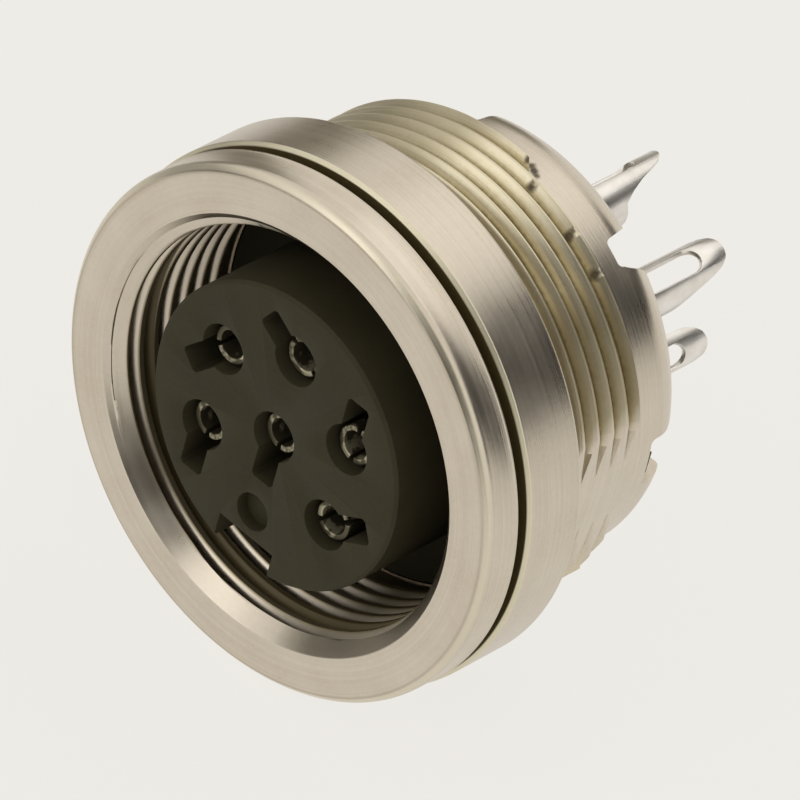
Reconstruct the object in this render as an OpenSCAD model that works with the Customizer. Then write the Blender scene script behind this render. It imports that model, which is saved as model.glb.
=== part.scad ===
// Panel-mount circular connector socket with a threaded coupling.
// The mating face looks along -Y, the solder side along +Y, and +Z is up.
// The origin is on the connector's axis, in the plane where the front ring meets the panel.

/* [Coupling thread] */
// Outer diameter of the coupling thread cut inside the shell
coupling_d = 16; // [14:0.5:30]
// Pitch of the coupling and panel threads
pitch = 0.75; // [0.5:0.05:0.8]
// Length of the coupling thread and its lead-in, from the face
coupling_l = 5.95; // [5:0.05:8]
// How far the lead-in cone is wider than the coupling thread at the face, on each side
leadin_step = 0.2; // [0.1:0.05:0.4]
// Depth of the lead-in cone
leadin_l = 0.7; // [0.4:0.05:1.2]

/* [Front ring] */
// How far the front ring stands out past the panel thread
ring_ledge = 1; // [0.7:0.05:4]
// Thickness of the front ring, from its face to the panel
ring_t = 1.5; // [1.2:0.05:4]
// Chamfer around the face
ring_chamfer = 0.25; // [0.1:0.05:0.5]

/* [Panel thread] */
// Wall between the coupling thread's and the panel thread's outer diameters
thread_wall = 1; // [0.9:0.05:3]
// Length of the panel thread behind the front ring
panel_thread_l = 7.7; // [6.2:0.1:14]
// Depth of the flat that stops the body from turning in the panel
flat_depth = 0.55; // [0.3:0.05:0.6]
// Run-out between the thread and the collar
runout_l = 0.3; // [0.2:0.05:0.6]

/* [Rear collar] */
// How far the collar lies below the panel thread
collar_step = 0.6; // [0.55:0.05:0.7]
// Length of the collar, from the thread to the rim
collar_l = 2.25; // [2:0.05:4]
// Length of the rim that is pressed inwards over the insulator
crimp_l = 0.7; // [0.4:0.05:1]
// How far the rim is pressed inwards
crimp_in = 0.45; // [0.2:0.05:0.5]
// Width of a narrow notch in the rim
notch_w = 1.1; // [0.8:0.05:1.6]
// Width of the notch above the flat, where the rear insulator's key shows
key_notch_w = 2.7; // [1.2:0.1:3.4]
// Width of the wide notch
wide_notch_w = 3.8; // [2.2:0.1:4.2]
// Depth of the notches from the rim
notch_l = 1.45; // [1.2:0.05:1.8]

/* [Ring nut] */
// How far the ring nut stands out past the front ring
nut_proud = 0.1; // [0:0.05:3]
// Thickness of the ring nut
nut_t = 2.8; // [2:0.05:3.5]
// Gap left between the front ring and the nut
nut_gap = 0.45; // [0.2:0.05:2]
// Chamfer around both faces of the nut
nut_chamfer = 0.2; // [0.1:0.05:0.4]
// Radial clearance between the nut and the panel thread
nut_clearance = 0.05; // [0.02:0.01:0.1]

/* [Insulators] */
// Diameter of the insert that carries the sockets
insert_d = 11.5; // [11.3:0.1:12.4]
// Chamfer around the insert's face
insert_chamfer = 0.12; // [0.05:0.01:0.3]
// Radial clearance of the insulators in the shell
insulator_clearance = 0.05; // [0.02:0.01:0.1]
// How far the shell's rear bore lies inside the coupling thread's outer diameter
rear_bore_step = 0.2; // [0.1:0.05:0.25]
// Length of the seat under the rim that holds the rear insulator
rim_seat_l = 0.35; // [0.2:0.05:0.5]
// Thickness of the front insulator's flange
front_flange_t = 2; // [1.6:0.1:3]
// How far the rear insulator stays below the rim
rear_recess = 0.6; // [0.5:0.05:0.8]
// Width of the keyway
keyway_w = 2.6; // [1.6:0.1:3]
// Depth of the keyway
keyway_depth = 1.2; // [0.6:0.05:1.4]
// Diameter of the blind mark beside the keyway
mark_d = 1.46; // [1:0.02:1.8]
// Depth of the blind mark
mark_depth = 0.5; // [0.3:0.1:1.5]
// Height of the rear insulator's key above the shell's rear bore
key_h = 0.35; // [0.2:0.05:0.5]
// Width of the key
key_w = 0.94; // [0.6:0.02:1.1]
// Clearance between the key and the floor of its notch
key_clearance = 0.08; // [0.05:0.01:0.15]

/* [Contacts] */
// Diameter of the circle of outer contacts
contact_circle_d = 7; // [6.6:0.1:7.2]
// Diameter of the entry holes
entry_d = 1.9; // [1.7:0.05:2]
// Width of the key-shaped slot beside each entry hole
slot_w = 1; // [0.6:0.05:1.2]
// Reach of the slot from the contact's centre
slot_reach = 2.05; // [1.4:0.05:2.1]
// Depth of the slot
slot_depth = 3; // [1:0.1:4]
// Outer diameter of the socket
socket_d = 1.5; // [1.3:0.05:1.6]
// Bore of the socket
socket_bore_d = 1.06; // [0.9:0.02:1.1]
// Depth of the socket's bore
socket_bore_l = 5; // [3:0.1:5.4]
// Distance of the socket below the insert's face
socket_recess = 0.45; // [0.2:0.05:1]
// Width of the slit that makes the socket springy
slit_w = 0.24; // [0.15:0.01:0.3]
// Length of the slit
slit_l = 3.5; // [2:0.1:4]
// Diameter of the shoulder held between the insulators
shoulder_d = 2.3; // [2.1:0.05:2.5]
// Thickness of the shoulder
shoulder_t = 1.2; // [0.6:0.05:1.4]
// Clearance of the contacts in their holes
contact_clearance = 0.05; // [0.03:0.01:0.1]

/* [Solder lugs] */
// Outer diameter of the rolled lug
lug_d = 1.9; // [1.7:0.05:2]
// Wall of the lug
lug_wall = 0.2; // [0.15:0.01:0.3]
// Length of a long lug behind the rear insulator
long_lug_l = 7.85; // [6.4:0.05:12]
// Length of a short lug behind the rear insulator
short_lug_l = 5.1; // [4.8:0.1:6]
// Length of the tongue at the lug's tip
tongue_l = 2.8; // [1.6:0.1:3]
// How much narrower the tongue is than the lug, on each side
tongue_inset = 0.13; // [0.1:0.01:0.3]
// Angle left open along the inner side of the lug
gap_span = 86; // [60:2:110]
// Width of the wire window
window_w = 0.9; // [0.6:0.05:1]
// Length of the wire window
window_l = 3.2; // [1.4:0.1:3.2]
// Distance of the window from the tip
window_tip = 1.15; // [0.8:0.05:1.3]
// Distance of the lug's open side from the rear insulator
open_start = 0.5; // [0.3:0.05:1]

/* [Hidden] */
$fn = 96;
// Overshoot of a cut past the surface that it opens
eps = 0.5;
// Depth of an inner and of an outer 60 degree thread, as shares of the pitch
inner_depth_share = 0.5413;
outer_depth_share = 0.6134;
// Width of a thread's root and plain length left at each end of a thread, as shares of the pitch
root_share = 0.125;
plain_end_share = 0.333;
// Radii of the shell, each from the coupling thread's
coupling_r = coupling_d / 2;
coupling_minor_r = coupling_r - inner_depth_share * pitch;
thread_r = coupling_r + thread_wall;
ring_r = thread_r + ring_ledge;
collar_r = thread_r - collar_step;
rear_bore_r = coupling_r - rear_bore_step;
// Stations along the axis, measured from the panel plane
face_y = -ring_t;
shoulder_y = face_y + coupling_l;
joint_y = shoulder_y + front_flange_t;
collar_y = panel_thread_l + runout_l;
rim_y = panel_thread_l + collar_l + runout_l;
crimp_y = rim_y - crimp_l;
notch_y = rim_y - notch_l;
back_y = rim_y - rear_recess;
seat_y = back_y - rim_seat_l;
// Contacts: the key and the empty position are at 270 degrees
contact_angles = [30, 90, 150, 210, 330];
contact_circle_r = contact_circle_d / 2;
keyway_angle = 270;
flat_angle = 0;
notch_angles = [flat_angle, 57.5, 120, 180, 240, 300];
notch_widths = [key_notch_w, notch_w, wide_notch_w, notch_w, notch_w, notch_w];
// Turn of a contact's slot and of its lug from the contact's own angle
slot_turn = 60;
lug_turn = 50;
centre_angle = 210;
// The contacts whose lugs are long; the others are short
long_lugs = [true, true, false, false, true, false];
entry_r = entry_d / 2;
shoulder_r = shoulder_d / 2;
lug_r = lug_d / 2;
tail_hole_r = lug_r + contact_clearance;

// Turns an outline given as radius and station about the connector's axis
module spin(outline) {
    rotate([-90, 0, 0]) rotate_extrude() polygon(outline);
}

// Cylinder along the axis between two stations
module rod(r, from_y, to_y) {
    translate([0, from_y, 0]) rotate([-90, 0, 0]) cylinder(r = r, h = to_y - from_y);
}

// Turns its children about the axis to an angle seen from the front, +X towards +Z
module at_angle(angle) {
    rotate([0, -angle, 0]) children();
}

// Moves its children to a contact's place
module at_contact(angle, radius) {
    translate([radius * cos(angle), 0, radius * sin(angle)]) children();
}

// Block that starts at a radius, centred across the +X direction
module radial_block(from_r, to_r, width, from_y, to_y) {
    translate([from_r, from_y, -width / 2]) cube([to_r - from_r, to_y - from_y, width]);
}

// Wedge centred on the +X direction, with its edge on the axis
module wedge(span, reach, from_y, to_y) {
    far = reach / cos(span / 4);
    translate([0, from_y, 0]) rotate([-90, 0, 0]) linear_extrude(to_y - from_y)
        polygon([[0, 0], for (share = [-0.5, 0, 0.5]) far * [cos(share * span), sin(share * span)]]);
}

// Flat bar with a round end, pointing along the axis and cut through the +X side
module window_bar(width, reach, from_y, tip_y) {
    end_y = tip_y - width / 2;
    translate([0, from_y, -width / 2]) cube([reach, end_y - from_y, width]);
    translate([0, end_y, 0]) rotate([0, 90, 0]) cylinder(d = width, h = reach);
}

// A thread drawn as rings: one groove to each turn, as points of an outline from one station
// up to another, with the last groove near the upper end
function thread_rings(crest_r, root_r, from_y, to_y) =
    let (flank = abs(crest_r - root_r) * tan(30),
         root = root_share * pitch,
         plain_end = plain_end_share * pitch,
         count = floor((to_y - from_y - 2 * plain_end) / pitch))
    [for (i = [0:count - 1])
        let (middle = to_y - plain_end - pitch * (count - i - 0.5))
        each [
            [crest_r, middle - root / 2 - flank],
            [root_r, middle - root / 2],
            [root_r, middle + root / 2],
            [crest_r, middle + root / 2 + flank]
        ]];

function reversed(list) = [for (i = [len(list) - 1:-1:0]) list[i]];

module shell_body() {
    thread_root_r = thread_r - outer_depth_share * pitch;
    leadin_y = face_y + leadin_l;
    spin(concat([
        [coupling_r + leadin_step, face_y],
        [ring_r - ring_chamfer, face_y],
        [ring_r, face_y + ring_chamfer],
        [ring_r, 0],
        [thread_r, 0]
    ], thread_rings(thread_r, thread_root_r, 0, panel_thread_l), [
        [thread_r, panel_thread_l],
        [collar_r, collar_y],
        [collar_r, crimp_y],
        [collar_r - crimp_in, rim_y],
        [rear_bore_r - crimp_in, rim_y],
        [rear_bore_r - crimp_in, back_y],
        [rear_bore_r, seat_y],
        [rear_bore_r, shoulder_y],
        [coupling_minor_r, shoulder_y]
    ], reversed(thread_rings(coupling_minor_r, coupling_r, leadin_y, shoulder_y)), [
        [coupling_minor_r, leadin_y]
    ]));
}

module shell() {
    color([0.78, 0.74, 0.68])
    difference() {
        shell_body();
        at_angle(flat_angle)
            radial_block(thread_r - flat_depth, thread_r + eps, 2 * thread_r, 0, rim_y + eps);
        for (i = [0:len(notch_angles) - 1])
            at_angle(notch_angles[i])
                radial_block(rear_bore_r - crimp_in - eps, collar_r + eps, notch_widths[i],
                             notch_y, rim_y + eps);
    }
}

module ring_nut() {
    bore_r = thread_r + nut_clearance;
    nut_r = ring_r + nut_proud;
    color([0.75, 0.72, 0.66])
    spin([
        [bore_r, nut_gap],
        [nut_r - nut_chamfer, nut_gap],
        [nut_r, nut_gap + nut_chamfer],
        [nut_r, nut_gap + nut_t - nut_chamfer],
        [nut_r - nut_chamfer, nut_gap + nut_t],
        [bore_r, nut_gap + nut_t]
    ]);
}

// Entry hole, spring slot and shoulder pocket of one contact in the front insulator
module socket_pocket(slot_angle) {
    at_angle(slot_angle) {
        rod(entry_r, face_y - eps, joint_y + eps);
        rod(shoulder_r + contact_clearance, joint_y - shoulder_t, joint_y + eps);
        radial_block(0, slot_reach, slot_w, face_y - eps, face_y + slot_depth);
    }
}

module insulator_front() {
    insert_r = insert_d / 2;
    flange_r = rear_bore_r - insulator_clearance;
    color([0.16, 0.15, 0.13])
    difference() {
        spin([
            [0, face_y],
            [insert_r - insert_chamfer, face_y],
            [insert_r, face_y + insert_chamfer],
            [insert_r, shoulder_y],
            [flange_r, shoulder_y],
            [flange_r, joint_y],
            [0, joint_y]
        ]);
        at_angle(keyway_angle) {
            radial_block(insert_r - keyway_depth, insert_r + eps, keyway_w, face_y - eps, shoulder_y);
            translate([contact_circle_r, 0, 0]) rod(mark_d / 2, face_y - eps, face_y + mark_depth);
        }
        for (angle = contact_angles)
            at_contact(angle, contact_circle_r) socket_pocket(angle + slot_turn);
        socket_pocket(centre_angle + slot_turn);
    }
}

module insulator_rear() {
    outer_r = rear_bore_r - insulator_clearance;
    edge_y = seat_y - insulator_clearance;
    color([0.13, 0.12, 0.11])
    difference() {
        union() {
            spin([
                [0, joint_y],
                [outer_r, joint_y],
                [outer_r, edge_y],
                [outer_r - crimp_in, back_y - insulator_clearance],
                [0, back_y - insulator_clearance]
            ]);
            at_angle(flat_angle)
                radial_block(contact_circle_r + shoulder_r, rear_bore_r + key_h,
                             key_w, notch_y + key_clearance, edge_y);
        }
        for (angle = contact_angles)
            at_contact(angle, contact_circle_r) rod(tail_hole_r, joint_y - eps, back_y + eps);
        rod(tail_hole_r, joint_y - eps, back_y + eps);
    }
}

// One rolled contact: split socket, shoulder, and a lug with a wire window.
// Its open side looks along +X and its tongue lies along -X until it is turned into place.
module contact(angle, radius, lug_l) {
    socket_y = face_y + socket_recess;
    root_y = joint_y - shoulder_t;
    tip_y = back_y + lug_l;
    tube_end_y = tip_y - tongue_l;
    open_y = back_y + open_start;
    window_y = tip_y - window_tip - window_l;
    reach = lug_r + eps;
    tongue_w = 2 * (lug_r - tongue_inset);
    color([0.86, 0.84, 0.8])
    at_contact(angle, radius)
    at_angle(angle + lug_turn + 180)
    difference() {
        union() {
            rod(socket_d / 2, socket_y, joint_y);
            rod(shoulder_r, root_y, joint_y);
            rod(lug_r, root_y, tube_end_y);
            intersection() {
                rod(lug_r, root_y, tip_y);
                at_angle(180) window_bar(tongue_w, reach, root_y, tip_y);
            }
        }
        rod(socket_bore_d / 2, socket_y - eps, socket_y + socket_bore_l);
        at_angle(slot_turn - lug_turn)
            radial_block(-reach, reach, slit_w, socket_y - eps, socket_y + slit_l);
        rod(lug_r - lug_wall, open_y, tip_y + eps);
        wedge(gap_span, reach, open_y, tip_y + eps);
        at_angle(180) window_bar(window_w, reach, window_y, tip_y - window_tip);
    }
}

module contact_1() { contact(contact_angles[0], contact_circle_r, lug_length(0)); }
module contact_2() { contact(contact_angles[1], contact_circle_r, lug_length(1)); }
module contact_3() { contact(contact_angles[2], contact_circle_r, lug_length(2)); }
module contact_4() { contact(contact_angles[3], contact_circle_r, lug_length(3)); }
module contact_5() { contact(contact_angles[4], contact_circle_r, lug_length(4)); }
module contact_6() { contact(centre_angle, 0, lug_length(5)); }

function lug_length(i) = long_lugs[i] ? long_lug_l : short_lug_l;

shell();
ring_nut();
insulator_front();
insulator_rear();
contact_1();
contact_2();
contact_3();
contact_4();
contact_5();
contact_6();
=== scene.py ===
from math import asin, ceil, cos, degrees, floor, pi, radians, sin, sqrt, tau
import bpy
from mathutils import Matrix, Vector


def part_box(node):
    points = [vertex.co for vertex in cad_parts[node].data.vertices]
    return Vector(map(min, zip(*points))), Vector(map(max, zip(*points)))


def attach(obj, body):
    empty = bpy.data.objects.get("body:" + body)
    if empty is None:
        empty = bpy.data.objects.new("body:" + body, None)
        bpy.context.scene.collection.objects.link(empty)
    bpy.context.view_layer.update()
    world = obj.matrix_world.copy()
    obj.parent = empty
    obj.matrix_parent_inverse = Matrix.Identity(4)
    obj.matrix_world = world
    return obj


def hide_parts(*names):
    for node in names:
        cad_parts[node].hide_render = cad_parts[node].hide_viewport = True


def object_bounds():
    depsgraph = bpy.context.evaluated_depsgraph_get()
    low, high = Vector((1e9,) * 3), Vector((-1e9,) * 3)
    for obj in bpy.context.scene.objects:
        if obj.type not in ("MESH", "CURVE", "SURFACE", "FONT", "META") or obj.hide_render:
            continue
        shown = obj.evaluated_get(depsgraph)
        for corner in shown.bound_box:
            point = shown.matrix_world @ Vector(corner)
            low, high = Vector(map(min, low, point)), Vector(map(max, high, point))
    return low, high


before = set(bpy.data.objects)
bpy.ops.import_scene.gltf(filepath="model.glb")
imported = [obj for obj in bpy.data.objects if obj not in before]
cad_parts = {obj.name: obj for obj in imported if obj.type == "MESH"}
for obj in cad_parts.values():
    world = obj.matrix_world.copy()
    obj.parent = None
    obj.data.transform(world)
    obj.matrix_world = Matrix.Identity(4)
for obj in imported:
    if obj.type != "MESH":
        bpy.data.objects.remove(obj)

from types import SimpleNamespace

import bmesh
import bpy
from mathutils import Matrix, Vector

MM = 0.001
cad_low, cad_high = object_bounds()

# Shell: one body turned from brass bar and nickel plated. It carries the front ring, the
# M18 x 0.75 panel thread with its flat, the M16 x 0.75 coupling thread, and a thin collar
# whose notched rim is pressed inwards over the rear insulator.
ring_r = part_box("shell")[1].z / MM
face_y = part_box("shell")[0].y / MM
rim_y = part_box("shell")[1].y / MM
ring_side_r = ring_r - 0.03
ring_edge_in = 0.29
ring_edge_back = 0.24
ring_lip = 0.05
pitch = 0.75
panel_crest_r = 9.0
panel_depth = 0.46
panel_root_r = panel_crest_r - panel_depth
panel_crest_at = 7.566
panel_thread_end = 8.05
short_thread_end = 7.45
flat_distance = 8.45
collar_r = 8.4
rear_bore_r = 7.8
rim_in = 0.45
bend_start = rim_y - 0.7
seat_y = rim_y - 0.95
seat_slope = 0.35
coupling_crest_r = 7.594
coupling_root_r = 8.0
coupling_crest_at = 0.24
coupling_end = 3.52
relief_r = 7.85
leadin_r = 8.2
leadin_end = face_y + 0.6
leadin_steps = 8
shoulder_y = face_y + 5.95
# Form of a 60 degree thread in pitches: half widths of its crests and of its root, and a small rounding
crest_half = 0.0625
coupling_crest_half = 0.17
root_half = 0.0625
edge_round = 0.03
# Where the panel thread ends, as (degrees, station): its last turn is missing part of the way round
thread_ends = [(-180, panel_thread_end), (-36, panel_thread_end), (-28, short_thread_end),
               (80.4, short_thread_end), (86.5, panel_thread_end), (180, panel_thread_end)]
# Dents on the last whole turn: angle in degrees, station, depth
dents = [(79.9, 7.34, 0.09), (65.7, 7.36, 0.07), (55.2, 7.38, 0.08)]
dent_size = 0.16


def thread_share(distance, half):
    """Depth of the thread form as a share, at a distance from a crest in pitches."""
    distance = abs((distance + 0.5) % 1 - 0.5)
    return min(max((distance - half) / (0.5 - half - root_half), 0), 1)


def thread_rows(first, last, crest_at, angle, half, cut=0.0, stop=None):
    """Stations that follow a right-hand thread along one line of the surface, kept between its ends.

    The crest is wider where a share of the thread's depth is cut away, and the thread may stop early."""
    edge = half + cut * (0.5 - half - root_half - edge_round)
    form = [-0.5, root_half - 0.5, -edge - edge_round, edge_round - edge,
            edge - edge_round, edge + edge_round, 0.5 - root_half]
    lead = crest_at - pitch * angle / tau
    turns = range(floor((first - crest_at) / pitch + 0.5), ceil((last - crest_at) / pitch + 0.5) + 1)
    end = last if stop is None else stop
    return [min(max(lead + pitch * (turn + place), first), end) for turn in turns for place in form]


def flat_cut(angle):
    """Share of the panel thread's depth that the flat takes away at an angle."""
    if cos(angle) <= 0:
        return 0.0
    return min(max((panel_crest_r - flat_distance / cos(angle)) / panel_depth, 0), 1)


def thread_stop(angle):
    """Station where the panel thread ends at an angle."""
    turn = (degrees(angle) + 180) % 360 - 180
    for (low, first), (high, last) in zip(thread_ends, thread_ends[1:]):
        if turn <= high:
            return first + (last - first) * (turn - low) / (high - low)


def panel_thread_r(y, angle):
    """Radius of the panel thread's surface, with its flat and its dents."""
    share = thread_share((y - panel_crest_at) / pitch + angle / tau, crest_half)
    radius = panel_crest_r - panel_depth * share
    for dent_angle, dent_y, depth in dents:
        off = Vector((radians(degrees(angle) - dent_angle) * radius, y - dent_y)).length / dent_size
        radius -= depth * max(1 - off, 0)
    if cos(angle) > 0:
        radius = min(radius, flat_distance / cos(angle))
    return radius


def coupling_thread_r(y, angle):
    """Radius of the coupling thread's surface, with the lead-in cone in front of it."""
    share = thread_share((y - coupling_crest_at) / pitch + angle / tau, coupling_crest_half)
    cone = leadin_r - (leadin_r - coupling_crest_r) * (y - face_y) / (leadin_end - face_y)
    return max(coupling_crest_r + (coupling_root_r - coupling_crest_r) * share, cone)


# Distance from a round corner to the extra point that keeps the straight side beside it flat
beside_round = 0.02


def soften(points, steps=4):
    """Outline with a round corner at each point (x, y, radius); a radius of 0 keeps it sharp."""
    made = []
    for i, (x, y, radius) in enumerate(points):
        corner = Vector((x, y))
        if radius == 0:
            made.append((x, y))
            continue
        before = Vector(points[i - 1][:2]) - corner
        after = Vector(points[(i + 1) % len(points)][:2]) - corner
        reach = min(radius, before.length / 2, after.length / 2)
        start = corner + before.normalized() * reach
        end = corner + after.normalized() * reach
        made.append(tuple(corner + before.normalized() * min(reach + beside_round, before.length / 2)))
        for step in range(steps + 1):
            t = step / steps
            made.append(tuple(start.lerp(corner, t).lerp(corner.lerp(end, t), t)))
        made.append(tuple(corner + after.normalized() * min(reach + beside_round, after.length / 2)))
    return made


def shell_outline(angle):
    """The shell's section at an angle: (radius, y) pairs from the face over the outside and back inside."""
    front = soften([
        (leadin_r, face_y, 0),
        (ring_r - ring_edge_in, face_y, 0.07),
        (ring_side_r, face_y + ring_edge_back, 0.16),
        (ring_side_r, -2 * ring_lip, 0),
        (ring_r, -ring_lip, 0.03),
        (ring_r, 0, 0.03),
        (panel_root_r, 0, 0),
    ])
    stop = thread_stop(angle)
    rows = thread_rows(0, panel_thread_end, panel_crest_at, angle, crest_half, flat_cut(angle), stop)
    thread = [(panel_thread_r(y, angle), y) for y in rows]
    rear = soften([
        (collar_r, stop, 0),
        (collar_r, bend_start, 0.45),
        (collar_r - rim_in, rim_y, 0.16),
        (rear_bore_r - rim_in, rim_y, 0.08),
        (rear_bore_r - rim_in, seat_y + seat_slope, 0),
        (rear_bore_r, seat_y, 0),
        (rear_bore_r, shoulder_y, 0),
    ])
    bore = thread_rows(face_y, coupling_end, coupling_crest_at, angle, coupling_crest_half)
    bore += [face_y + (leadin_end - face_y) * i / leadin_steps for i in range(1, leadin_steps + 1)]
    coupling = [(coupling_thread_r(y, angle), y) for y in sorted(bore, reverse=True)]
    return front[:-1] + thread + rear + [(relief_r, shoulder_y), (relief_r, coupling_end)] + coupling


# Notches of the rim: middle in degrees, width, and how far each side leans outwards at the rim
notches = [(2.2, 2.02, 0.0, 0.0), (57.5, 1.1, 0.5, 0.12), (120, 3.8, 0.1, 0.1),
           (180, 1.1, 0.15, 0.15), (240, 1.1, 0.15, 0.15), (300, 1.1, 0.15, 0.15)]
notch_floor = rim_y - 1.45
notch_corner = 0.22
notch_reach = radians(9)
# Sections of the shell beside a notch: just outside its side, at steps inwards round its lower corner,
# and no others within an angle of it
just_outside = 1e-7
corner_steps = (0, 0.03, 0.08, 0.15, 0.24)
kept_free = radians(0.2)
# All other sections in stretches: first degree, last degree and the step between. They stand closer
# where the flat cuts the thread, at the dents and at the thread's end.
section_stretches = [(0, 358.8, 1.2), (-23.75, -6, 0.25), (6, 23.75, 0.25),
                     (54, 56.7, 0.3), (64.2, 67.2, 0.3), (78, 89.7, 0.3)]


def notch_sides():
    """Each notch as its middle and half width in radians, and its two leans."""
    return [(radians(middle), asin(width / 2 / collar_r), low, high)
            for middle, width, low, high in notches]


def shell_columns():
    """Angles of the shell's sections, each with its distance inside a notch's side, or None."""
    plain = [i * step for first, last, step in section_stretches
             for i in range(round(first / step), round(last / step) + 1)]
    columns = []
    for angle in map(radians, plain):
        offs = [abs((angle - middle + pi) % tau - pi) - half for middle, half, _, _ in notch_sides()]
        if min(abs(off) for off in offs) > kept_free:
            inside = min(offs)
            columns.append((angle % tau, -inside * collar_r if inside < 0 else None))
    for middle, half, _, _ in notch_sides():
        for side in (-1, 1):
            edge = middle + side * half
            columns.append(((edge + side * just_outside) % tau, None))
            columns += [((edge - side * step / collar_r) % tau, step) for step in corner_steps]
    columns.sort(key=lambda column: column[0])
    return columns + [(columns[0][0] + tau, columns[0][1])]


def shell_point(radius, y, angle, depth):
    """Point of the shell in its own axes, with the notches cut and their sides straight or leaning."""
    if depth is not None:
        corner = notch_corner - sqrt(max(notch_corner ** 2 - max(notch_corner - depth, 0) ** 2, 0))
        if y > notch_floor + corner:
            y = notch_floor + corner
            radius = max(radius, rear_bore_r)
    for middle, half, low, high in notch_sides():
        off = (angle - middle + pi) % tau - pi
        if y < notch_floor or abs(off) > half + notch_reach:
            continue
        side = 1 if off > 0 else -1
        lean = (high if side > 0 else low) * (y - notch_floor) / (rim_y - notch_floor)
        wider = asin(collar_r * sin(half) / radius) - half
        fade = min(abs(off) / half, 1 - (abs(off) - half) / notch_reach, 1)
        angle += side * fade * (wider + (lean / radius if depth is None else 0))
    return (radius * cos(angle), -radius * sin(angle), y)


# In metres: points of a mesh that lie closer than the first become one, and edges shorter than the
# second are taken out
weld_distance = 2e-6
sliver_length = 1e-7


def skin(name, columns, closed=True):
    """Mesh through a row of outlines, each a closed list of points in millimetres."""
    made = bmesh.new()
    rows = [[made.verts.new(Vector(point) * MM) for point in column] for column in columns]
    for left, right in zip(rows, rows[1:]):
        for i in range(len(left)):
            made.faces.new((left[i - 1], left[i], right[i], right[i - 1]))
    if not closed:
        made.faces.new(rows[0])
        made.faces.new(rows[-1])
    bmesh.ops.remove_doubles(made, verts=made.verts, dist=weld_distance)
    bmesh.ops.dissolve_degenerate(made, edges=made.edges, dist=sliver_length)
    bmesh.ops.recalc_face_normals(made, faces=made.faces)
    mesh = bpy.data.meshes.new(name)
    made.to_mesh(mesh)
    made.free()
    return mesh


def shell_mesh():
    """Skin over the shell's sections, all the way round."""
    columns = [[shell_point(radius, y, angle, depth) for radius, y in shell_outline(angle)]
               for angle, depth in shell_columns()]
    return skin("shell_body", columns)


class Shade:
    """A value or colour on its way through a material's nodes. Arithmetic on it adds Math nodes."""

    def __init__(self, tree, socket=None):
        self.tree = tree
        self.socket = socket

    def node(self, kind, settings=None, inputs=None, output=0):
        """Adds one node: its type, its settings, then the values or links of its sockets."""
        made = self.tree.nodes.new(kind)
        for name, value in (settings or {}).items():
            setattr(made, name, value)
        for name, value in (inputs or {}).items():
            if isinstance(value, Shade):
                self.tree.links.new(value.socket, made.inputs[name])
            else:
                made.inputs[name].default_value = value
        return Shade(self.tree, made.outputs[output] if made.outputs else None)

    def beside(self, output):
        """Another output of the node that this one comes from."""
        return Shade(self.tree, self.socket.node.outputs[output])

    def math(self, operation, first, second=0.0):
        """One Math node, on numbers or on other Shades."""
        return self.node("ShaderNodeMath", {"operation": operation}, {0: first, 1: second})

    def __add__(self, other):
        return self.math("ADD", self, other)

    def __radd__(self, other):
        return self.math("ADD", other, self)

    def __sub__(self, other):
        return self.math("SUBTRACT", self, other)

    def __rsub__(self, other):
        return self.math("SUBTRACT", other, self)

    def __mul__(self, other):
        return self.math("MULTIPLY", self, other)

    def __rmul__(self, other):
        return self.math("MULTIPLY", other, self)

    def __truediv__(self, other):
        return self.math("DIVIDE", self, other)

    def __rtruediv__(self, other):
        return self.math("DIVIDE", other, self)

    def span(self, low, high):
        """This value as a share of the way from one to another, kept between 0 and 1."""
        return self.node("ShaderNodeMapRange", None, {0: self, 1: low, 2: high})

    def blend(self, low, high):
        """Colour between two others, with this value as the factor."""
        return self.node("ShaderNodeMix", {"data_type": "RGBA"}, {0: self, 6: low, 7: high}, 2)


def new_material(name):
    """An empty material, with a Shade that adds nodes to it."""
    made = bpy.data.materials.new(name)
    made.use_nodes = True
    made.node_tree.nodes.clear()
    return made, Shade(made.node_tree)


def finish_material(shade, sockets):
    """Ends a material in one Principled shader with these sockets."""
    surface = shade.node("ShaderNodeBsdfPrincipled", None, sockets)
    shade.node("ShaderNodeOutputMaterial", None, {"Surface": surface})


# Nickel plate: its two tones, and its tool marks, counted per millimetre across them and along them.
# They lie closer on a side, which is turned along the axis, than on a face.
nickel_light = (0.70, 0.63, 0.53, 1)
nickel_dark = (0.60, 0.53, 0.43, 1)
nickel_roughness = 0.3
marks_across = 9.0
marks_along = 0.06
marks_closer_on_sides = 1.37
marks_anisotropy = 0.5
# What a full layer of painted shade, painted highlight, tint or dark mark adds to the plate's roughness, and
# takes from its metallic look
layer_roughness = 0.12
layer_dulling = 0.8
# Height in metres that the bump of a surface stands for
bump_height = 0.00002


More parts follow.
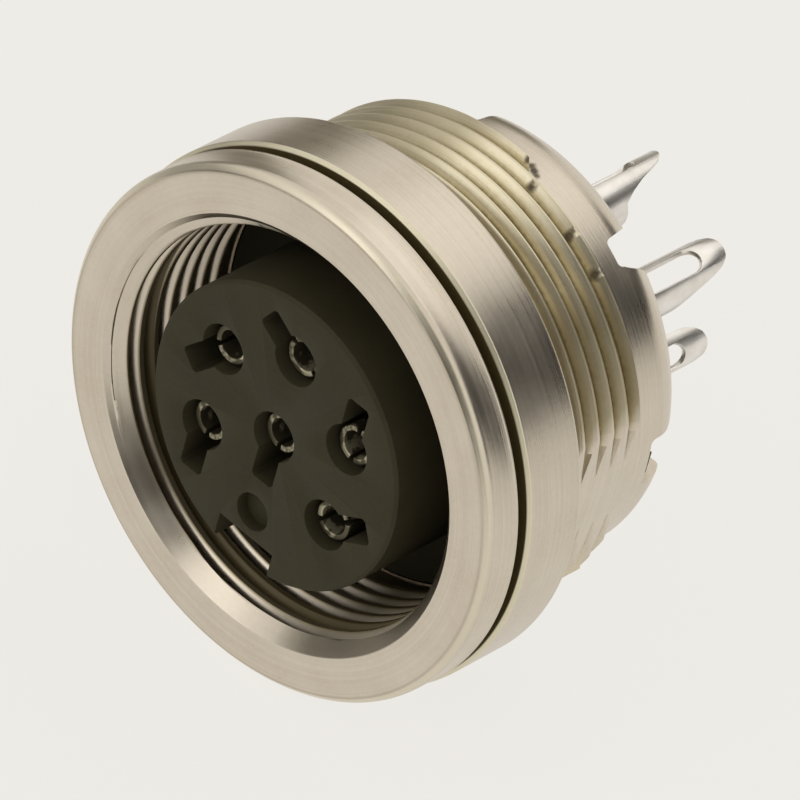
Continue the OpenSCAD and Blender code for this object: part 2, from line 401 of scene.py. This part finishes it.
def turned_metal(name, paint_layers):
    """Nickel plate on a turned surface: fine tool marks run around the piece's own Z axis.

    The second argument gives layers of (share, colour) at a spot, in millimetres: painted shade, painted
    highlights, a tint and dark marks. Each covers those before it, and makes the place rougher and, where it
    is thick, less metallic."""
    made, shade = new_material(name)
    place = shade.node("ShaderNodeTexCoord", output="Object")
    local = shade.node("ShaderNodeVectorMath", {"operation": "SCALE"}, {0: place, "Scale": 1 / MM})
    x = shade.node("ShaderNodeSeparateXYZ", None, {0: local})
    y, station = x.beside("Y"), x.beside("Z")
    radius = shade.math("SQRT", x * x + y * y)
    across = radius + station * marks_closer_on_sides
    around = shade.node("ShaderNodeCombineXYZ", None,
                        {0: x * marks_along, 1: y * marks_along, 2: across * marks_across})
    grooves = shade.node("ShaderNodeTexNoise", None, {"Vector": around, "Scale": 1.0, "Detail": 4.0})
    cloud = shade.node("ShaderNodeTexNoise", None, {"Vector": place, "Scale": 420.0, "Detail": 3.0})
    speck = shade.node("ShaderNodeTexNoise", None, {"Vector": place, "Scale": 5200.0, "Detail": 2.0})
    tone = grooves * 0.45 + cloud * 0.4 + speck * 0.15
    colour = tone.span(0.38, 0.62).blend(nickel_dark, nickel_light)
    rough = nickel_roughness + (cloud - 0.5) * 0.14 + (grooves - 0.5) * 0.12
    bare = 1.0
    spot = SimpleNamespace(local=local, x=x, y=y, radius=radius, station=station, cloud=cloud, speck=speck)
    for share, layer_colour in paint_layers(spot):
        colour = share.blend(colour, layer_colour)
        rough = rough + share * layer_roughness
        bare = bare * (1.0 - share.span(0.5, 1.0) * layer_dulling)
    bump = shade.node("ShaderNodeBump", None,
                      {"Height": grooves + speck * 0.3, "Strength": 0.22, "Distance": bump_height})
    finish_material(shade, {"Base Color": colour, "Metallic": bare, "Roughness": rough, "Normal": bump,
                            "Anisotropic": marks_anisotropy})
    return made


# Painted shade: the threads of the shell are painted darker towards some angles: degrees and strength
# outside, degrees in the bore
panel_shade_turns = [(35, 0.45), (114, 0.36)]
bore_shade_turn = 316
panel_shade_colour = (0.22, 0.17, 0.08, 1)
# Painted shade in the roots of the panel thread and in the gap behind the ring
groove_shade_colour = (0.17, 0.13, 0.055, 1)
# Dark marks beside the thread's last turn: at the dents, and painted shadow at the foot of the wall where
# the thread ends. Each has angle in degrees, radius, station, size, strength
dark_marks = [(79.9, 8.78, 7.22, 0.28, 0.9), (65.7, 8.72, 7.2, 0.26, 0.85), (55.2, 8.78, 7.27, 0.3, 0.9),
          (86.3, 8.88, 8.0, 0.24, 0.85), (86.3, 8.4, 8.36, 0.22, 0.85), (84.7, 8.4, 8.24, 0.24, 0.9),
          (83.2, 8.4, 8.16, 0.2, 0.8)]
dark_mark_core = 0.35
dark_mark_colour = (0.085, 0.06, 0.025, 1)
nut_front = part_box("ring_nut")[0].y / MM


def towards(turn, spot):
    """How near a spot lies to an angle round the axis: the cosine of the angle between."""
    return (spot.x * cos(radians(turn)) - spot.y * sin(radians(turn))) / spot.radius


def shell_layers(spot):
    """Layers on the shell: a tint and painted shade on the threads, a painted highlight and dark reflection
    at the ring's edge, painted shade in the gap, and dark marks.
    """
    radius, station = spot.radius, spot.station
    # How far the edges of the painted layers wander, in millimetres
    uneven = (spot.cloud - 0.5) * 0.3 + (spot.speck - 0.5) * 0.26
    panel_thread = (radius.span(collar_r + 0.02, collar_r + 0.1)
                    * radius.span(panel_crest_r + 0.1, panel_crest_r + 0.05)
                    * station.span(nut_front, nut_front + 0.05)
                    * spot.x.span(flat_distance - 0.03, flat_distance - 0.35))
    # Painted shade on the flanks and in the roots of the panel thread
    flank_shade = (radius + uneven).span(panel_crest_r - 0.1, panel_crest_r - 0.32) * panel_thread
    root = (radius + uneven * 0.5).span(panel_root_r + 0.13, panel_root_r + 0.03) * panel_thread
    bore = (radius.span(coupling_root_r + 0.06, coupling_root_r + 0.04)
            * station.span(leadin_end - 0.05, leadin_end)
            * station.span(coupling_end + 0.48, coupling_end - 0.02))
    # Painted shade in the bore's thread: its roots and crest flats are painted dark
    bore_root_shade = (radius + uneven * 0.15).span(coupling_root_r - 0.1, coupling_root_r - 0.03) * bore
    bore_crest_shade = radius.span(coupling_crest_r + 0.076, coupling_crest_r + 0.016) * bore
    # Painted shade on the lower side of the bore, towards one angle
    bore_shade = ((towards(bore_shade_turn, spot) + uneven * 0.1).span(0.87, 0.95)
                * radius.span(leadin_r + 0.04, leadin_r - 0.04)
                * station.span(shoulder_y - 0.05, shoulder_y - 0.25))
    # Painted shade in the gap between the front ring and the nut
    gap_shade = (radius.span(panel_crest_r + 0.3, panel_crest_r + 0.1) * station.span(-0.01, 0.0)
           * station.span(nut_front + 0.05, nut_front + 0.01))
    # A painted highlight on the ring's outer edge, and beside it on the face a thin painted dark reflection
    edge = radius.span(ring_r - 0.3, ring_r - 0.2) * station.span(face_y + 0.3, face_y + 0.15)
    dark_edge_reflection = (radius.span(ring_r - 0.4, ring_r - 0.33) * radius.span(ring_r - 0.24, ring_r - 0.31)
                 * station.span(face_y + 0.12, face_y + 0.06))
    layers = [(panel_thread * 0.42, (0.78, 0.71, 0.45, 1)), (flank_shade * 0.3, (0.42, 0.35, 0.17, 1))]
    # Painted shade on the panel thread towards each of its angles
    for turn, share in panel_shade_turns:
        turn_shade = (towards(turn, spot) + uneven * 0.1).span(0.94, 0.985) * panel_thread
        layers.append((turn_shade * share, panel_shade_colour))
    layers += [
        (bore_shade * 0.62, (0.1, 0.08, 0.04, 1)),
        (root * 0.65, groove_shade_colour),
        (edge * 0.4, (0.88, 0.82, 0.62, 1)),
        (dark_edge_reflection * 0.35, (0.32, 0.27, 0.18, 1)),
        (bore_root_shade * 0.75, (0.2, 0.16, 0.08, 1)),
        (bore_crest_shade * 0.8, (0.3, 0.24, 0.12, 1)),
        (gap_shade, groove_shade_colour),
    ]
    # Dark marks at the dents, and painted shadow at the foot of the wall where the thread ends
    for turn, r, y, size, share in dark_marks:
        middle = (r * cos(radians(turn)), -r * sin(radians(turn)), y)
        off = spot.local.node("ShaderNodeVectorMath", {"operation": "DISTANCE"},
                              {0: spot.local, 1: middle}, "Value")
        layers.append(((off + uneven * 0.6).span(size, size * dark_mark_core) * share, dark_mark_colour))
    return layers


# Edges of a piece are shaded sharp where their faces meet at more than this
sharp_from = radians(32)


def piece(name, mesh, node, material, turn=0.0, at=(0.0, 0.0)):
    """Shows a mesh built around its own Z axis as a piece whose Z axis lies along the connector's."""
    made = bpy.data.objects.new(name, mesh)
    bpy.context.scene.collection.objects.link(made)
    made.matrix_world = (Matrix.Translation((at[0] * MM, 0, at[1] * MM))
                         @ Matrix.Rotation(-turn, 4, "Y") @ Matrix.Rotation(-pi / 2, 4, "X"))
    mesh.materials.clear()
    mesh.materials.append(material)
    mesh.shade_smooth()
    mesh.set_sharp_from_angle(angle=sharp_from)
    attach(made, "root")
    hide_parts(node)


nickel_shell = turned_metal("nickel_shell", shell_layers)
piece("shell_body", shell_mesh(), "shell", nickel_shell)

# Ring nut: turned brass, nickel plated, screwed onto the panel thread right behind the front
# ring. Its outside is smooth, and its front edge has a chamfer with a painted highlight.
nut_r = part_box("ring_nut")[1].z / MM
nut_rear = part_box("ring_nut")[1].y / MM
nut_bore_r = panel_crest_r + 0.05
nut_bore_chamfer = 0.15
nut_front_chamfer = 0.14
nut_rear_chamfer = 0.2
nut_outline = soften([
    (nut_bore_r + nut_bore_chamfer, nut_front, 0.03),
    (nut_r - nut_front_chamfer, nut_front, 0.03),
    (nut_r, nut_front + nut_front_chamfer, 0.03),
    (nut_r, nut_rear - nut_rear_chamfer, 0.05),
    (nut_r - nut_rear_chamfer, nut_rear, 0.05),
    (nut_bore_r + nut_bore_chamfer, nut_rear, 0.03),
    (nut_bore_r, nut_rear - nut_bore_chamfer, 0.03),
    (nut_bore_r, nut_front + nut_bore_chamfer, 0.03),
])


def turned(name, outline, steps=256, start=0.0, span=tau):
    """Mesh of an outline of (radius, y) pairs turned about the Z axis, whole or in part."""
    columns = []
    for i in range(steps + 1):
        angle = start + span * i / steps
        columns.append([(r * cos(angle), -r * sin(angle), y) for r, y in outline])
    return skin(name, columns, closed=span >= tau)


def nut_layers(spot):
    """Layers on the nut: painted shade on its front face in the gap, a painted highlight on its front edge,
    and its rear edge painted darker.
    """
    radius, station = spot.radius, spot.station
    chamfer_r = nut_r - nut_front_chamfer
    chamfer_y = nut_front + nut_front_chamfer
    # Painted shade on the front face, which lies in the gap behind the ring
    front = station.span(nut_front + 0.05, nut_front + 0.02) * radius.span(chamfer_r + 0.04, chamfer_r)
    # A painted highlight on the front chamfer
    edge = (radius.span(chamfer_r - 0.02, chamfer_r + 0.04)
            * station.span(chamfer_y + 0.03, chamfer_y - 0.04))
    # The rear edge painted darker
    rear = station.span(nut_rear - 0.12, nut_rear - 0.04)
    return [(front, (0.13, 0.1, 0.04, 1)), (edge * 0.7, (0.92, 0.86, 0.62, 1)),
            (rear * 0.6, (0.2, 0.16, 0.09, 1))]


nickel_nut = turned_metal("nickel_nut", nut_layers)
piece("ring_nut_body", turned("ring_nut_body", nut_outline), "ring_nut", nickel_nut)

# Front insulator: moulded black plastic. The insert stands inside the coupling thread with its
# face level with the ring, and its flange closes the space around it. Each contact has a
# round entry with a slot beside it, and a keyway and a blind mark lie at the bottom.
insert_r = 5.75
insert_chamfer = 0.12
flange_r = rear_bore_r - 0.05
joint_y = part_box("insulator_front")[1].y / MM
insulator_steps = 160
keyway_w = 2.6
keyway_floor = insert_r - 1.2
mark_r = 0.73
mark_depth = 0.5
contact_circle_r = 3.5
contact_angles = [30, 90, 150, 210, 330]
centre_turn = 210
contact_places = [(contact_circle_r * cos(radians(a)), contact_circle_r * sin(radians(a)), a)
                  for a in contact_angles] + [(0.0, 0.0, centre_turn)]
entry_r = 0.95
entry_steps = 40
face_round = 0.05
slot_w = 1.0
slot_corner = 0.12
slot_end = face_y + 3
# Each slot's angle from its contact's own, and its reach from the hole's middle; odd ones by number
slot_turn = 60
odd_slot_turns = {3: 79}
slot_reach = 2.05
odd_slot_reaches = {2: 1.85, 3: 1.95}
# Cutters stand out past what they cut, and the entries' deep part is a trace narrower than their front
cutter_over = 1
keyway_cutter_r = 7
entry_narrower = 0.003
circle_steps = 48
# Edges are eased where their faces meet at more than this
eased_from = radians(30)
# How far from a station, in metres, an edge may lie and still count as in its plane
station_tolerance = 1e-6


def prism(name, outline, low, high):
    """Closed mesh of an outline in the Z axis's plane, from one station to another."""
    return skin(name, [[(x, y, low) for x, y in outline], [(x, y, high) for x, y in outline]], closed=False)


def circle(radius, x, y):
    """Outline of a round cutter."""
    turns = [tau * i / circle_steps for i in range(circle_steps)]
    return [(x + radius * cos(turn), y + radius * sin(turn)) for turn in turns]


def keyhole(x, z, turn, reach):
    """Outline of an entry hole and the slot that leaves it towards an angle seen from the front."""
    opening = asin(slot_w / 2 / entry_r)
    points = []
    for i in range(entry_steps + 1):
        angle = opening + (tau - 2 * opening) * i / entry_steps
        points.append((entry_r * cos(angle), entry_r * sin(angle)))
    points += [(reach - slot_corner, -slot_w / 2), (reach, slot_corner - slot_w / 2),
               (reach, slot_w / 2 - slot_corner), (reach - slot_corner, slot_w / 2)]
    angle = radians(turn)
    return [(x + u * cos(angle) - v * sin(angle), -(z + u * sin(angle) + v * cos(angle)))
            for u, v in points]


def carve(mesh, cutters, operation="DIFFERENCE"):
    """Cuts each closed mesh out of another, or joins it on."""
    body = bpy.data.objects.new("carved", mesh)
    bpy.context.scene.collection.objects.link(body)
    helpers = []
    for cutter in cutters:
        helper = bpy.data.objects.new("cutter", cutter)
        bpy.context.scene.collection.objects.link(helper)
        modifier = body.modifiers.new("cut", "BOOLEAN")
        modifier.operation = operation
        modifier.solver = "EXACT"
        modifier.object = helper
        helpers.append(helper)
    seen = body.evaluated_get(bpy.context.evaluated_depsgraph_get())
    made = bpy.data.meshes.new_from_object(seen)
    for used in helpers + [body]:
        bpy.data.objects.remove(used)
    return made


def ease_edges(mesh, chosen, width):
    """Rounds the edges that a test picks, out of those with an angle between their faces."""
    made = bmesh.new()
    made.from_mesh(mesh)
    edges = [edge for edge in made.edges
             if len(edge.link_faces) == 2 and edge.calc_face_angle(0) > eased_from and chosen(edge)]
    bmesh.ops.bevel(made, geom=edges, offset=width * MM, segments=2, profile=0.5,
                    affect="EDGES", clamp_overlap=True)
    made.to_mesh(mesh)
    made.free()
    return mesh


def at_station(y):
    """Test that picks edges lying in the plane of a station along the axis."""
    return lambda edge: all(abs(vert.co.z - y * MM) < station_tolerance for vert in edge.verts)


def insulator_front_mesh():
    """Turned body with its holes, slots, keyway and mark cut out, and the edges of its face eased."""
    body = turned("insulator_front_body", [
        (0, face_y), (insert_r - insert_chamfer, face_y), (insert_r, face_y + insert_chamfer),
        (insert_r, shoulder_y), (flange_r, shoulder_y), (flange_r, joint_y), (0, joint_y)], insulator_steps)
    start = face_y - cutter_over
    cutters = []
    for number, (x, z, angle) in enumerate(contact_places, 1):
        turn = angle + odd_slot_turns.get(number, slot_turn)
        reach = odd_slot_reaches.get(number, slot_reach)
        cutters.append(prism("slot", keyhole(x, z, turn, reach), start, slot_end))
        cutters.append(prism("entry", circle(entry_r - entry_narrower, x, -z), start, joint_y + cutter_over))
    half = keyway_w / 2
    keyway = [(-half, keyway_floor), (half, keyway_floor),
              (half, keyway_cutter_r), (-half, keyway_cutter_r)]
    cutters.append(prism("keyway", keyway, start, shoulder_y))
    cutters.append(prism("mark", circle(mark_r, 0, contact_circle_r), start, face_y + mark_depth))
    return ease_edges(carve(body, cutters), at_station(face_y), face_round)


plastic_dark = (0.058, 0.051, 0.028, 1)
plastic_light = (0.073, 0.065, 0.037, 1)
plastic_roughness = 0.55


def moulded_plastic(name):
    """Moulded black plastic: a faint grain, and flow marks that shift its shade."""
    made, shade = new_material(name)
    place = shade.node("ShaderNodeTexCoord", output="Object")
    grain = shade.node("ShaderNodeTexNoise", None, {"Vector": place, "Scale": 9000.0, "Detail": 3.0})
    cloud = shade.node("ShaderNodeTexNoise", None, {"Vector": place, "Scale": 500.0, "Detail": 3.0})
    tone = (cloud * 0.7 + grain * 0.3).span(0.36, 0.64)
    bump = shade.node("ShaderNodeBump", None,
                      {"Height": grain + cloud * 0.4, "Strength": 0.25, "Distance": bump_height})
    finish_material(shade, {"Base Color": tone.blend(plastic_dark, plastic_light), "Normal": bump,
                            "Roughness": plastic_roughness + (cloud - 0.5) * 0.2,
                            "Specular IOR Level": 0.15})
    return made


plastic = moulded_plastic("black_plastic")
piece("insulator_front_body", insulator_front_mesh(), "insulator_front", plastic)

# Rear insulator: a disc of the same plastic that traps the contacts' shoulders. The rim of the
# shell is pressed over its bevelled edge, and a key on it fills part of one notch.
rear_outer_r = rear_bore_r - 0.05
rear_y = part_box("insulator_rear")[1].y / MM
rear_edge_y = seat_y - 0.05
rear_face_round = 0.04
tail_hole_r = 1.0
key_w = 0.94
key_foot_r = 5
key_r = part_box("insulator_rear")[1].x / MM
key_start = notch_floor + 0.08


def insulator_rear_mesh():
    """Turned disc with its key joined on and a hole for each contact's tail cut out."""
    body = turned("insulator_rear_body", [
        (0, joint_y), (rear_outer_r, joint_y), (rear_outer_r, rear_edge_y),
        (rear_outer_r - rim_in, rear_y), (0, rear_y)], insulator_steps)
    half = key_w / 2
    key = prism("key", [(key_foot_r, -half), (key_r, -half), (key_r, half), (key_foot_r, half)],
                key_start, rear_edge_y)
    holes = [prism("hole", circle(tail_hole_r, x, -z), joint_y - cutter_over, rear_y + cutter_over)
             for x, z, _ in contact_places]
    return ease_edges(carve(carve(body, [key], "UNION"), holes), at_station(rear_y), rear_face_round)


piece("insulator_rear_body", insulator_rear_mesh(), "insulator_rear", plastic)

# Contacts: stamped from sheet brass, rolled and silver plated. The front is a tube split by a
# slit so that it springs, a shoulder is trapped between the insulators, and the tail is a
# rolled solder lug with an open side, a tongue and a window for the wire.
socket_r = 0.75
socket_bore_r = 0.53
socket_front = face_y + 0.45
socket_bore_end = socket_front + 5
slit_end = socket_front + 3.5
slit_w = 0.24
contact_shoulder_r = 1.15
contact_shoulder_y = joint_y - 1.2
lug_r = 0.95
lug_wall = 0.2
lug_middle_r = lug_r - lug_wall / 2
lug_start = rear_y + 0.5
lug_corner = 0.08
lug_edge_round = 0.035
tongue_l = 2.85
window_w = 0.95
window_l = 3.1
window_turn = 50
window_from_tip = 1.2
window_steps = 12
bend_first = -130
bend_last = 155
bend_step = 5
tube_steps = 24
body_steps = 48
long_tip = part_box("contact_1")[1].y / MM
short_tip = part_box("contact_3")[1].y / MM
long_lugs = {1, 2, 5}


def lug_blank(tip):
    """Flat blank of a lug: (degrees around the lug, station) pairs, with 0 at the contact's own angle."""
    base = tip - tongue_l
    return [(-124, lug_start), (150, lug_start), (150, base), (116, base), (110, base + 0.5),
            (106, tip - 0.85), (96, tip - 0.4), (80, tip - 0.12), (60, tip), (40, tip), (20, tip - 0.1),
            (4, tip - 0.4), (-8, tip - 0.9), (-22, tip - 1.7), (-38, tip - 2.35), (-56, base), (-124, base)]


def lug_window(tip):
    """Outline of the wire window in the same flat form, with round ends."""
    end = tip - window_from_tip
    centre = radians(window_turn) * lug_middle_r
    half = window_w / 2
    points = []
    for middle, start in ((end - half, 0), (end - window_l + half, pi)):
        for i in range(window_steps + 1):
            angle = start + pi * i / window_steps
            points.append((centre + half * cos(angle), middle + half * sin(angle)))
    return points


def rolled_lug(tip):
    """The lug: its blank is stamped flat, its edges are eased, and it is rolled about the Z axis."""
    outline = [(radians(turn) * lug_middle_r, y, lug_corner) for turn, y in lug_blank(tip)]
    plate = prism("blank", soften(outline, 2), -lug_wall / 2, lug_wall / 2)
    window = prism("window", lug_window(tip), -cutter_over, cutter_over)
    flat = ease_edges(carve(plate, [window]), lambda edge: True, lug_edge_round)
    made = bmesh.new()
    made.from_mesh(flat)
    for turn in range(bend_first, bend_last + 1, bend_step):
        cut_at = Vector((radians(turn) * lug_middle_r * MM, 0, 0))
        bmesh.ops.bisect_plane(made, geom=made.verts[:] + made.edges[:] + made.faces[:],
                               plane_co=cut_at, plane_no=(1, 0, 0), dist=sliver_length)
    for vert in made.verts:
        around, y, out = vert.co / MM
        angle = around / lug_middle_r
        radius = lug_middle_r + out
        vert.co = Vector((radius * cos(angle), -radius * sin(angle), y)) * MM
    bmesh.ops.recalc_face_normals(made, faces=made.faces)
    made.to_mesh(flat)
    made.free()
    return flat


def joined(name, meshes):
    """One mesh holding several closed ones."""
    made = bmesh.new()
    for mesh in meshes:
        made.from_mesh(mesh)
        bpy.data.meshes.remove(mesh)
    mesh = bpy.data.meshes.new(name)
    made.to_mesh(mesh)
    made.free()
    return mesh


def contact_mesh(name, tip):
    """One contact: the two halves of its split tube, the turned body behind them, and its lug."""
    tube = soften([(socket_bore_r, socket_front, 0.05), (socket_r, socket_front, 0.06),
                   (socket_r, slit_end, 0), (socket_bore_r, slit_end, 0)], 3)
    body = [(socket_bore_r, slit_end), (socket_r, slit_end), (socket_r, contact_shoulder_y),
            (contact_shoulder_r, contact_shoulder_y), (contact_shoulder_r, joint_y), (lug_r, joint_y),
            (lug_r, lug_start), (0, lug_start), (0, socket_bore_end), (socket_bore_r, socket_bore_end)]
    half_slit = asin(slit_w / 2 / socket_r)
    halves = [turned("half", tube, tube_steps, radians(slot_turn) + half_slit + side, pi - 2 * half_slit)
              for side in (0, pi)]
    return joined(name, halves + [turned("body", body, body_steps), rolled_lug(tip)])


# Silver plate: its tones where it is clean, the tones of the socket end, which are painted shade with
# random painted glints, and its marks, which are drawn out along the piece
silver_light = (0.9, 0.87, 0.83, 1)
silver_dark = (0.8, 0.76, 0.7, 1)
socket_glint_light = (0.62, 0.57, 0.4, 1)
socket_shade_dark = (0.13, 0.115, 0.07, 1)
silver_roughness = 0.36
drawn_marks = (9000.0, 9000.0, 900.0)


def plated_sheet(name):
    """Silver plate on rolled sheet: drawn marks along it, a slight tarnish, and a duller socket end in
    painted shade with random painted glints.
    """
    made, shade = new_material(name)
    place = shade.node("ShaderNodeTexCoord", output="Object")
    station = shade.node("ShaderNodeSeparateXYZ", None, {0: place}, "Z")
    stretched = shade.node("ShaderNodeVectorMath", {"operation": "MULTIPLY"},
                           {0: place, 1: drawn_marks})
    marks = shade.node("ShaderNodeTexNoise", None, {"Vector": stretched, "Scale": 1.0, "Detail": 3.0})
    cloud = shade.node("ShaderNodeTexNoise", None, {"Vector": place, "Scale": 1500.0, "Detail": 3.0})
    bump = shade.node("ShaderNodeBump", None,
                      {"Height": marks + cloud, "Strength": 0.12, "Distance": bump_height})
    clean = cloud.span(0.35, 0.65).blend(silver_dark, silver_light)
    # Painted shade on the socket end, with random painted glints; the end is also rougher and less metallic
    socket_shade_and_glints = cloud.span(0.54, 0.62).blend(socket_shade_dark, socket_glint_light)
    socket_end = station.span((socket_bore_end + 0.2) * MM, socket_bore_end * MM)
    finish_material(shade, {"Base Color": socket_end.blend(clean, socket_shade_and_glints), "Metallic": 1.0 - socket_end * 0.35,
                            "Roughness": silver_roughness + (marks - 0.5) * 0.08 + socket_end * 0.1,
                            "Normal": bump})
    return made


silver = plated_sheet("silver_plate")
for number, (x, z, angle) in enumerate(contact_places, 1):
    name = f"contact_{number}_body"
    tip = long_tip if number in long_lugs else short_tip
    piece(name, contact_mesh(name, tip), f"contact_{number}", silver,
          radians(angle), (x, z))

# Studio: a pale floor under the socket, a pale surround, soft lamps, and boards standing round
# it, which the metal mirrors as darker bands. Its places and sizes are in metres.
floor_w = 6.0
pale = (0.93, 0.91, 0.868, 1)
# Share of the floor's own colour in what the camera sees, and the surround's strength as a light
floor_own = 0.85
surround_light = 0.45
black = (0.004, 0.0035, 0.002, 1)
brown = (0.03, 0.025, 0.015, 1)
grey = (0.33, 0.3, 0.24, 1)


def card(name, centre, width, height, normal):
    """Flat board in the studio, facing along a direction."""
    mesh = bpy.data.meshes.new(name)
    corners = [(-width / 2, -height / 2, 0), (width / 2, -height / 2, 0),
               (width / 2, height / 2, 0), (-width / 2, height / 2, 0)]
    mesh.from_pydata(corners, [], [(0, 1, 2, 3)])
    made = bpy.data.objects.new(name, mesh)
    bpy.context.scene.collection.objects.link(made)
    made.rotation_mode = "QUATERNION"
    made.rotation_quaternion = Vector(normal).to_track_quat("Z", "Y")
    made.location = centre
    return made


def direct_rays(shade):
    """1 for rays that see a surface from the camera, in a mirror or through glass, and 0 for lighting."""
    camera_ray = shade.node("ShaderNodeLightPath", output="Is Camera Ray")
    mirror_ray = camera_ray.beside("Is Glossy Ray")
    through_ray = camera_ray.beside("Is Transmission Ray")
    return shade.math("MAXIMUM", camera_ray, shade.math("MAXIMUM", mirror_ray, through_ray))


def floor_material():
    """Pale floor that is seen at its own colour, with part of the light on it left in for the shadow."""
    made, shade = new_material("pale_floor")
    lit = shade.node("ShaderNodeBsdfDiffuse", None, {"Color": pale})
    plain = shade.node("ShaderNodeEmission", None, {"Color": pale, "Strength": 1.0})
    mixed = shade.node("ShaderNodeMixShader", None, {0: direct_rays(shade) * floor_own, 1: lit, 2: plain})
    shade.node("ShaderNodeOutputMaterial", None, {"Surface": mixed})
    return made


ground = card("floor", (0, 0, cad_low.z), floor_w, floor_w, (0, 0, 1))
ground.data.materials.append(floor_material())


def from_object(azimuth, elevation, distance):
    """Place at an angle round the object: azimuth 0 is in front of the mating face, 90 at +X."""
    a, e = radians(azimuth), radians(elevation)
    return Vector((sin(a) * cos(e), -cos(a) * cos(e), sin(e))) * distance


def board(name, azimuth, elevation, distance, width, height, colour):
    """Matt board that only mirrors see."""
    stands_at = from_object(azimuth, elevation, distance)
    made = card(name, stands_at, width, height, -stands_at)
    material, shade = new_material(name)
    finish_material(shade, {"Base Color": colour, "Roughness": 0.95})
    made.data.materials.append(material)
    made.visible_camera = False
    made.visible_shadow = False
    made.visible_diffuse = False


# Each board's azimuth, elevation, distance, width, height and colour
board("dark_board", 137, 27.5, 0.3, 0.4, 0.19, black)
board("grey_board", 231, 5, 0.12, 0.12, 0.08, grey)
board("right_board", 25, 21, 0.3, 0.22, 0.33, brown)
board("left_board", -70, 4, 0.1, 0.14, 0.045, brown)


def softbox(name, azimuth, elevation, distance, size, power):
    """Soft lamp that shines at the object from an angle and isn't seen itself."""
    lamp = bpy.data.lights.new(name, "AREA")
    lamp.shape = "RECTANGLE"
    lamp.size, lamp.size_y = size
    lamp.energy = power
    made = bpy.data.objects.new(name, lamp)
    bpy.context.scene.collection.objects.link(made)
    made.location = from_object(azimuth, elevation, distance)
    made.rotation_mode = "QUATERNION"
    made.rotation_quaternion = made.location.to_track_quat("Z", "Y")
    made.visible_camera = False


# Each lamp's azimuth, elevation, distance, size and power in watts
softbox("top_box", 180, 60, 0.5, (0.4, 0.3), 0.12)
softbox("front_box", -20, 32, 0.6, (0.3, 0.32), 0.25)

world = bpy.data.worlds.new("surround")
bpy.context.scene.world = world
world.use_nodes = True
world.node_tree.nodes.clear()
air = Shade(world.node_tree)
strength = surround_light + direct_rays(air) * (1.0 - surround_light)
glow = air.node("ShaderNodeBackground", None, {"Color": pale, "Strength": strength})
air.node("ShaderNodeOutputWorld", None, {"Surface": glow})

# Camera: a long lens above and to the right of the mating face, leaning with the photograph.
# Its places are in millimetres, and its scale is in pixels of the frame to a millimetre.
camera_distance = 350.0
camera_azimuth = radians(42.62)
camera_elevation = radians(28.37)
camera_lean = radians(17.345)
frame_right = 4.35
frame_up = 1.28
frame_width = 800
image_scale = 29.02
sensor_width = 36.0


def leaned(vector):
    """Turns a direction of the leaning camera frame about the connector's axis."""
    return Matrix.Rotation(-camera_lean, 3, "Y") @ Vector(vector)


right = leaned((cos(camera_azimuth), sin(camera_azimuth), 0))
forward = leaned((-sin(camera_azimuth) * cos(camera_elevation),
                  cos(camera_azimuth) * cos(camera_elevation), -sin(camera_elevation)))
up = right.cross(forward)
lens = bpy.data.cameras.new("camera")
lens.sensor_width = sensor_width
lens.lens = sensor_width * image_scale * camera_distance / frame_width
lens.clip_start = 0.01
lens.clip_end = 20.0
camera = bpy.data.objects.new("camera", lens)
bpy.context.scene.collection.objects.link(camera)
stands_at = frame_right * right + frame_up * up - camera_distance * forward + Vector((0, face_y, 0))
turned_to = Matrix((right, up, -forward)).transposed().to_4x4()
camera.matrix_world = Matrix.Translation(stands_at * MM) @ turned_to
bpy.context.scene.camera = camera
bpy.context.scene.view_settings.view_transform = "Standard"
